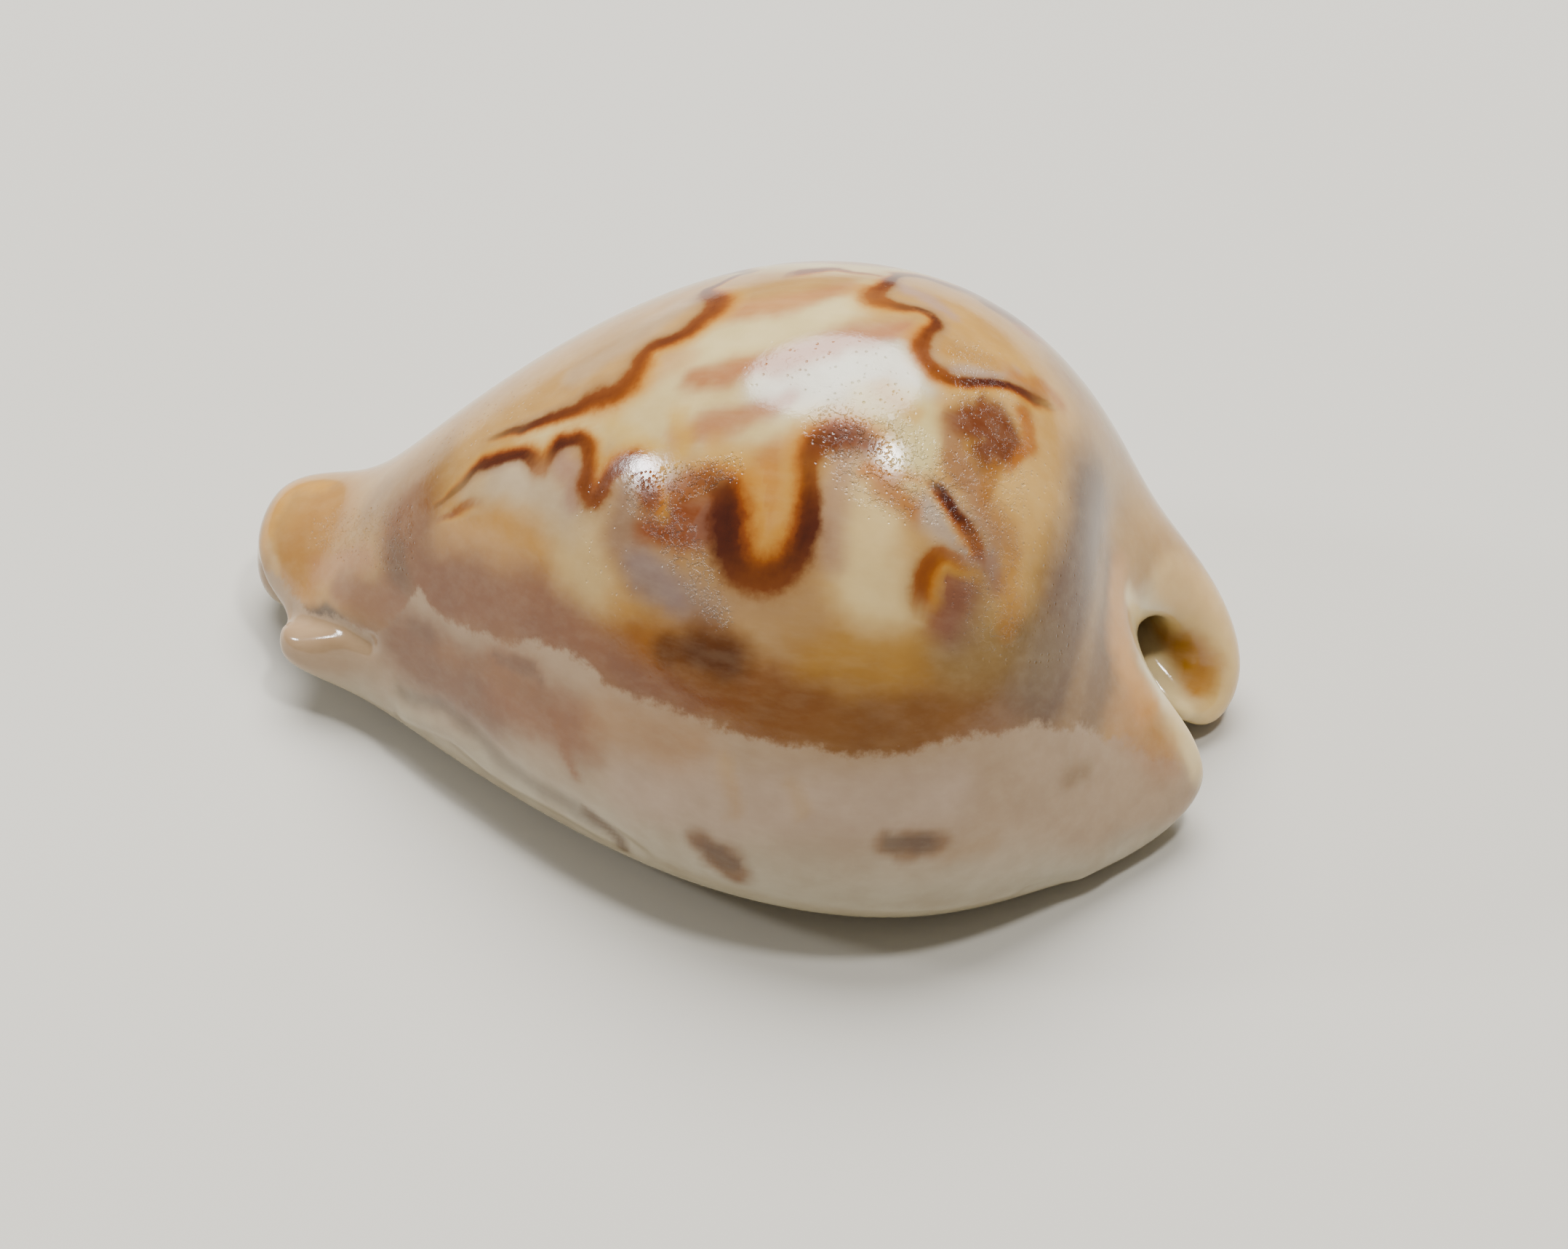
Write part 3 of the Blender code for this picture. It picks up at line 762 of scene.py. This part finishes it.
# The far side's lines, in the frame that mirrors the photograph's.
FAR_LINES = (
    (1, ((951, 607, 6, 0.6, 0.6), (930, 640, 9, 1, 0.5), (900, 668, 12, 1, 0.4),
        (880, 700, 13, 1, 0.4), (905, 730, 12, 1, 0.5), (930, 765, 13, 1, 0.6),
        (915, 805, 14, 1, 0.6), (880, 830, 12, 1, 0.5), (850, 815, 10, 1, 0.6),
        (820, 790, 9, 0.9, 0.7), (785, 800, 8, 0.8, 0.8), (750, 830, 6, 0.6, 0.9),
        (715, 850, 4, 0, 1))),
    (-1, ((1162, 622, 6, 0.8, 0.8), (1185, 650, 9, 1, 0.5), (1225, 670, 11, 1, 0.4),
        (1245, 700, 12, 1, 0.35), (1225, 735, 12, 1, 0.4), (1215, 770, 12, 1, 0.5),
        (1250, 800, 12, 1, 0.6), (1290, 815, 10, 1, 0.8), (1325, 805, 8, 0.9, 0.9),
        (1360, 815, 6, 0.6, 1), (1390, 840, 4, 0, 1))),
    (1, ((1000, 760, 6, 0, 0.6), (1010, 790, 14, 0.9, 0.8), (1015, 830, 18, 1, 0.9),
        (1035, 865, 19, 1, 0.7), (1070, 875, 18, 1, 0.6), (1100, 850, 16, 1, 0.8),
        (1108, 810, 14, 1, 0.9), (1100, 775, 10, 0.8, 0.6), (1085, 750, 6, 0, 0.4))),
)

# Worn places of the glaze: strength, softness and places with radii, in px.
WEAR = (
    (0.8, 60, ((1150, 590, 10), (1210, 630, 40), (1270, 660, 30))),
    (1.0, 20, ((880, 668, 8), (935, 662, 16), (1000, 645, 8))),
    (0.9, 30, ((885, 690, 10), (930, 740, 16), (960, 800, 14), (985, 840, 6))),
    (0.55, 60, ((1340, 500, 20), (1370, 600, 40), (1360, 700, 40), (1370, 840, 30))),
    (0.5, 50, ((460, 730, 20), (540, 740, 30))),
    (0.35, 60, ((620, 600, 20), (700, 560, 20))),
    (0.35, 60, ((1440, 680, 30), (1450, 850, 40))),
    (0.4, 40, ((1080, 500, 20), (1180, 520, 40))),
    (0.35, 40, ((820, 700, 10), (840, 790, 20))),
)

LINE_WIDTH = 1.35  # share of the half widths in the tables
FAR_AWAY = 9.0  # in half widths, where there is no line
LINE_REACH = 5  # half widths on each side that a line can colour


def paint_lines(co, tree):
    """Distance to the nearest line in half widths, its side, strength and tone."""
    line, side = np.full(len(co), FAR_AWAY), np.zeros(len(co))
    ink, tone = np.zeros(len(co)), np.zeros(len(co))
    near_side = [(1, sign, rows) for sign, rows in LINES]
    far_side = [(-1, -sign, rows) for sign, rows in FAR_LINES]
    for seen_from, sign, rows in near_side + far_side:
        points, tangents, normals, more = stroke(tree, rows, seen_from)
        width = more[:, 0] * PX * LINE_WIDTH
        near, d, which, off = distance(co, points, tangents, LINE_REACH * width.max())
        across = (off * np.cross(normals[which], tangents[which])).sum(axis=1)
        value = d / width[which]
        closer = value < line[near]
        pick = near[closer]
        line[pick] = value[closer]
        lean = np.clip(across * sign / (0.4 * width[which]), -1, 1)
        side[pick] = (lean * 0.5 + 0.5)[closer]
        ink[pick] = more[which[closer], 1]
        tone[pick] = more[which[closer], 2]
    return line, side, ink, tone


def paint_wear(co, tree):
    """How worn and pitted the glaze is at each vertex."""
    wear = np.zeros(len(co))
    for strength, soft, places in WEAR:
        points, tangents, _, more = stroke(tree, places)
        radius, fade = more[:, 0] * PX, soft * PX
        near, d, which, _ = distance(co, points, tangents, radius.max() + fade)
        weight = strength * smooth(1 - (d - radius[which]) / fade)
        wear[near] = np.maximum(wear[near], weight)
    return wear


def keep(mesh, name, values):
    """Values of every vertex, kept on the mesh under a name."""
    if values.ndim == 2:
        made = mesh.color_attributes.new(name, "FLOAT_COLOR", "POINT")
        rows = np.column_stack([values, np.ones(len(values))])
        made.data.foreach_set("color", rows.astype(np.float32).ravel())
    else:
        made = mesh.attributes.new(name, "FLOAT", "POINT")
        made.data.foreach_set("value", values.astype(np.float32))


# Materials.

class Nodes:
    """Short ways to add nodes to a material."""

    def __init__(self, name):
        self.material = bpy.data.materials.new(name)
        self.material.use_nodes = True
        self.tree = self.material.node_tree
        self.surface = self.tree.nodes["Principled BSDF"]

    def add(self, kind, **values):
        node = self.tree.nodes.new(kind)
        for key, value in values.items():
            setattr(node, key, value)
        return node

    def link(self, out, into):
        self.tree.links.new(out, into)

    def place(self):
        return self.add("ShaderNodeTexCoord").outputs["Object"]

    def noise(self, size, detail=3.0, rough=0.5, stretch=None):
        """Noise whose lumps are about size mm across."""
        node = self.add("ShaderNodeTexNoise")
        node.inputs["Scale"].default_value = 1.0 / (size * MM)
        node.inputs["Detail"].default_value = detail
        node.inputs["Roughness"].default_value = rough
        vector = self.place()
        if stretch:
            bend = self.add("ShaderNodeMapping")
            bend.inputs["Scale"].default_value = stretch
            self.link(vector, bend.inputs["Vector"])
            vector = bend.outputs["Vector"]
        self.link(vector, node.inputs["Vector"])
        return node.outputs["Fac"]

    def maths(self, operation, a, b=None, c=None):
        node = self.add("ShaderNodeMath", operation=operation)
        for i, value in enumerate((a, b, c)):
            if value is None:
                continue
            if isinstance(value, (int, float)):
                node.inputs[i].default_value = value
            else:
                self.link(value, node.inputs[i])
        return node.outputs[0]

    def between(self, value, low, high, out_low=0.0, out_high=1.0):
        node = self.add("ShaderNodeMapRange", interpolation_type="SMOOTHSTEP")
        self.link(value, node.inputs["Value"])
        for key, number in (("From Min", low), ("From Max", high),
                            ("To Min", out_low), ("To Max", out_high)):
            node.inputs[key].default_value = number
        return node.outputs["Result"]

    def bump(self, height, depth, strength=1.0, below=None, invert=False):
        """Normals bent by a height, depth in mm, on top of the normals below."""
        node = self.add("ShaderNodeBump", invert=invert)
        node.inputs["Strength"].default_value = strength
        node.inputs["Distance"].default_value = depth * MM
        self.link(height, node.inputs["Height"])
        if below:
            self.link(below, node.inputs["Normal"])
        return node.outputs["Normal"]

    def attribute(self, name):
        return self.add("ShaderNodeAttribute", attribute_name=name)

    def mix(self, factor, a, b, mode="MIX"):
        node = self.add("ShaderNodeMix", data_type="RGBA", blend_type=mode)
        for key, value in (("Factor", factor), ("A", a), ("B", b)):
            socket = [i for i in node.inputs if i.name == key and i.enabled][0]
            if isinstance(value, (int, float)):
                socket.default_value = value
            elif isinstance(value, str):
                socket.default_value = (*rgb(value), 1.0)
            else:
                self.link(value, socket)
        return [o for o in node.outputs if o.enabled][0]

    def blend(self, factor, a, b):
        node = self.add("ShaderNodeMix")
        for key, value in (("Factor", factor), ("A", a), ("B", b)):
            self.link(value, [i for i in node.inputs if i.name == key and i.enabled][0])
        return node.outputs["Result"]

    def ramp(self, value, stops):
        """Colour and alpha over value. Each stop: place, colour, alpha."""
        node = self.add("ShaderNodeValToRGB")
        self.link(value, node.inputs["Fac"])
        parts = node.color_ramp.elements
        while len(parts) < len(stops):
            parts.new(0.5)
        for part, (place, code, alpha) in zip(parts, stops):
            part.position = place
            part.color = (*rgb(code), alpha)
        return node.outputs["Color"], node.outputs["Alpha"]


# Sizes across and heights of the glaze's bumps, in mm.
GRAIN, GRAIN_DEPTH = 0.35, 0.014
PITS, PIT_DEPTH = 0.30, 0.035
CHIPS, CHIP_DEPTH = 0.7, 0.05
GLAZE_IOR = 1.6


def shell_material():
    """Glossy glaze: soft ground, the pale margin with the floor's painted reflection below a
    ragged edge, dark lines, grain, pits and chips.
    """
    n = Nodes("cowry_shell")
    # Ragged edge between the ground above and the pale margin below, which carries the floor's
    # painted reflection.
    ragged = n.maths("SUBTRACT", n.noise(0.7, 5.0, 0.7), 0.5)
    broad = n.maths("SUBTRACT", n.noise(3.0, 2.0), 0.5)
    above = n.maths("MULTIPLY_ADD", ragged, 1.6, n.attribute("above").outputs["Fac"])
    above = n.maths("MULTIPLY_ADD", broad, 1.8, above)
    flank = n.between(above, -0.35, 0.35)
    hem_and_reflection, ground = (n.attribute(name).outputs["Color"] for name in ("hem_and_reflection", "ground"))
    cloud = n.between(n.noise(3.2, 4.0), 0.3, 0.7, 0.0, 0.25)
    tint = n.mix(cloud, n.mix(flank, hem_and_reflection, ground), "#d0b890", "MULTIPLY")
    fibre = n.between(n.noise(0.9, 4.0, 0.6, (0.35, 1.0, 1.0)), 0.35, 0.75, 0.0, 0.06)
    tint = n.mix(fibre, tint, "#e9d9c0", "SCREEN")

    wander = n.maths("SUBTRACT", n.noise(0.8, 4.0, 0.6), 0.5)
    far = n.maths("MULTIPLY_ADD", wander, 0.9, n.attribute("line").outputs["Fac"])
    far = n.maths("MULTIPLY", far, 0.25)
    side = n.attribute("side").outputs["Fac"]
    tone = n.attribute("tone").outputs["Fac"]
    sets = []
    for inward, outward in (
        (((0.0, "#8a4a0c", 1.0), (0.16, "#9a5812", 1.0), (0.30, "#b87824", 0.85),
          (0.46, "#cf9c4c", 0.4), (0.7, "#dcb878", 0.0)),
         ((0.0, "#8a4a0c", 1.0), (0.16, "#96541c", 0.95), (0.26, "#9c6a44", 0.6),
          (0.40, "#a88464", 0.25), (0.6, "#b09478", 0.0))),
        (((0.0, "#4a1c06", 1.0), (0.10, "#5e2808", 1.0), (0.20, "#8c460c", 0.97),
          (0.30, "#b06c1c", 0.8), (0.44, "#cc943c", 0.4), (0.7, "#dcb878", 0.0)),
         ((0.0, "#4a1c0a", 1.0), (0.14, "#542212", 1.0), (0.22, "#6a3828", 0.85),
          (0.32, "#846058", 0.5), (0.6, "#9c7c78", 0.0))),
    ):
        pale, pale_cover = n.ramp(far, inward)
        dusk, dusk_cover = n.ramp(far, outward)
        sets.append((n.mix(side, dusk, pale), n.blend(side, dusk_cover, pale_cover)))
    inked = n.mix(tone, sets[0][0], sets[1][0])
    cover = n.maths("MULTIPLY", n.blend(tone, sets[0][1], sets[1][1]),
                    n.attribute("ink").outputs["Fac"])
    colour = n.mix(cover, tint, inked)
    n.link(colour, n.surface.inputs["Base Color"])

    wear = n.attribute("wear").outputs["Fac"]
    dull = n.between(n.noise(1.6, 5.0, 0.65), 0.3, 0.75, 0.09, 0.16)
    n.link(n.maths("MULTIPLY_ADD", wear, 0.06, dull), n.surface.inputs["Roughness"])
    n.surface.inputs["IOR"].default_value = GLAZE_IOR

    grain = n.bump(n.noise(GRAIN, 4.0, 0.6), GRAIN_DEPTH, 0.5)
    cells = n.add("ShaderNodeTexVoronoi")
    cells.inputs["Scale"].default_value = 1 / (PITS * MM)
    n.link(n.place(), cells.inputs["Vector"])
    dent = n.between(cells.outputs["Distance"], 0.05, 0.38, 1.0, 0.0)
    pick = n.add("ShaderNodeSeparateColor")
    n.link(cells.outputs["Color"], pick.inputs["Color"])
    some = n.between(n.maths("ADD", pick.outputs["Red"], wear), 0.92, 1.25)
    pits = n.bump(n.maths("MULTIPLY", dent, some), PIT_DEPTH, below=grain, invert=True)
    flake = n.between(n.noise(CHIPS, 4.0, 0.7), 0.49, 0.56)
    chips = n.maths("MULTIPLY", flake, n.between(wear, 0.3, 0.9))
    n.link(n.bump(chips, CHIP_DEPTH, below=pits), n.surface.inputs["Normal"])
    return n.material


def tooth_material():
    n = Nodes("cowry_teeth")
    cloud = n.noise(1.5, 3.0)
    colour = n.mix(n.between(cloud, 0.35, 0.7), "#e9e0cd", "#dccbab")
    n.link(colour, n.surface.inputs["Base Color"])
    n.link(n.between(n.noise(0.8, 3.0), 0.3, 0.7, 0.14, 0.28), n.surface.inputs["Roughness"])
    n.link(n.bump(n.noise(0.25, 3.0), 0.01, 0.3), n.surface.inputs["Normal"])
    return n.material


def floor_material():
    n = Nodes("paper")
    n.link(n.mix(n.noise(60.0, 3.0), "#dcd9d3", "#d6d2cb"), n.surface.inputs["Base Color"])
    n.surface.inputs["Roughness"].default_value = 0.85
    n.link(n.bump(n.noise(0.6, 3.0), 0.02, 0.1), n.surface.inputs["Normal"])
    return n.material


# The pieces, the lights and the camera.

def slit_line(x):
    """Middle of the slit and height of the base at x, between stations."""
    for a, b in zip(STATIONS, STATIONS[1:]):
        if x <= b.x:
            break
    t = min(max((x - a.x) / (b.x - a.x), 0.0), 1.0)
    return a.slit + t * (b.slit - a.slit), a.base + t * (b.base - a.base)


def build_teeth(tree, move, material):
    """Both rows of teeth, each a smooth ridge on the edge of its lip."""
    points, faces = [], []
    around, rings = 16, 10
    for side, number in ((1, OUTER_TEETH), (-1, LEFT_TEETH)):
        for i in range(number):
            x = TOOTH_FIRST + (TOOTH_LAST - TOOTH_FIRST) * (i + 0.5) / number
            middle, base = slit_line(x)
            start = Vector((x, middle, base + TOOTH_HEIGHT)) + Vector(move)
            place = tree.ray_cast(start, Vector((0, side, 0)))[0]
            turn = Matrix.Rotation(-side * TOOTH_TILT, 4, "X")
            at = Matrix.Translation(place) @ turn @ Matrix.Diagonal((*TOOTH, 1.0))
            first = len(points)
            points.append(at @ Vector((0, 0, 1)))
            for r in range(1, rings):
                rise = math.pi * r / rings
                for k in range(around):
                    turn_k = 2 * math.pi * k / around
                    ball = Vector((math.sin(rise) * math.cos(turn_k),
                                   math.sin(rise) * math.sin(turn_k), math.cos(rise)))
                    points.append(at @ ball)
            points.append(at @ Vector((0, 0, -1)))
            end = len(points) - 1
            for k in range(around):
                n = (k + 1) % around
                faces.append((first, first + 1 + k, first + 1 + n))
                foot = first + 1 + (rings - 2) * around
                faces.append((end, foot + n, foot + k))
                for r in range(rings - 2):
                    a = first + 1 + r * around
                    faces.append((a + k, a + around + k, a + around + n, a + n))
    mesh = bpy.data.meshes.new("teeth")
    mesh.from_pydata([tuple(p * MM) for p in points], [], faces)
    mesh.shade_smooth()
    mesh.materials.append(material)
    return show("teeth", mesh)


def show(name, mesh):
    obj = bpy.data.objects.new(name, mesh)
    bpy.context.scene.collection.objects.link(obj)
    return obj


def build_shell():
    mesh, move = graded(cage_mesh())
    tree = tree_of(mesh)
    press_relief(mesh, tree)
    tree = tree_of(mesh)
    co, no = points_of(mesh), normals_of(mesh)
    top = crest(co)
    # wandering places give the marks uneven outlines
    loose = wobble(wobble(co, 2.5, 0.5), 0.8, 0.22, 9.0)
    keep(mesh, "ground", paint_ground(ABOVE_REFLECTION_EDGE, loose, no, tree, top))
    # The pale margin below the ragged edge, with the floor's reflection painted into it.
    keep(mesh, "hem_and_reflection", paint_ground(HEM_AND_REFLECTION_GROUND, loose, no, tree, top))
    keep(mesh, "above", edge_height(co, tree, top))
    keep(mesh, "wear", paint_wear(co, tree))
    lines = paint_lines(wobble(co, 1.2, 0.16, 5.0), tree)
    for name, values in zip(("line", "side", "ink", "tone"), lines):
        keep(mesh, name, values)
    set_points(mesh, co * MM)
    mesh.shade_smooth()
    mesh.materials.clear()
    mesh.materials.append(shell_material())
    return show("cowry", mesh), tree, move


def build_floor():
    size = 2.0  # metres from the middle to each edge
    mesh = bpy.data.meshes.new("floor")
    corners = ((-size, -size), (size, -size), (size, size), (-size, size))
    mesh.from_pydata([(x, y, 0.0) for x, y in corners], [], [(0, 1, 2, 3)])
    mesh.materials.append(floor_material())
    return show("floor", mesh)


LIGHTS_AIM = 0.015  # height in metres that the lights look at


def soft_light(name, azimuth, elevation, distance, size, power):
    """An oval light that looks at the shell, in metres. Azimuth 0 is at the near side."""
    lamp = bpy.data.lights.new(name, "AREA")
    lamp.shape = "ELLIPSE"
    lamp.size, lamp.size_y = size
    lamp.energy = power
    a, e = math.radians(azimuth), math.radians(elevation)
    way = Vector((math.sin(a) * math.cos(e), -math.cos(a) * math.cos(e), math.sin(e)))
    obj = bpy.data.objects.new(name, lamp)
    obj.location = Vector((0.0, 0.0, LIGHTS_AIM)) + way * distance
    obj.rotation_euler = way.to_track_quat("Z", "Y").to_euler()
    bpy.context.scene.collection.objects.link(obj)


def build_lights():
    soft_light("over", -165, 66, 0.8, (0.78, 0.62), 14.0)
    soft_light("left", -80, 30, 0.6, (0.10, 0.05), 1.0)
    soft_light("spark", 69, 72, 0.7, (0.11, 0.09), 2.6)
    world = bpy.context.scene.world or bpy.data.worlds.new("studio")
    bpy.context.scene.world = world
    world.use_nodes = True
    sky = world.node_tree.nodes["Background"]
    sky.inputs["Color"].default_value = (1.0, 0.97, 0.93, 1.0)
    sky.inputs["Strength"].default_value = 0.28


def build_camera():
    right, up, back, place = camera_axes()
    lens = bpy.data.cameras.new("camera")
    lens.lens = LENS
    lens.sensor_width = SENSOR
    lens.clip_start = 0.01
    obj = bpy.data.objects.new("camera", lens)
    turn = Matrix((right, up, back)).transposed().to_4x4()
    obj.matrix_world = Matrix.Translation(Vector(place) * MM) @ turn
    bpy.context.scene.collection.objects.link(obj)
    bpy.context.scene.camera = obj


def main():
    build_camera()
    shell, tree, move = build_shell()
    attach(shell, "root")
    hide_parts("shell")
    teeth = build_teeth(tree, move, tooth_material())
    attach(teeth, "root")
    build_floor()
    build_lights()


main()
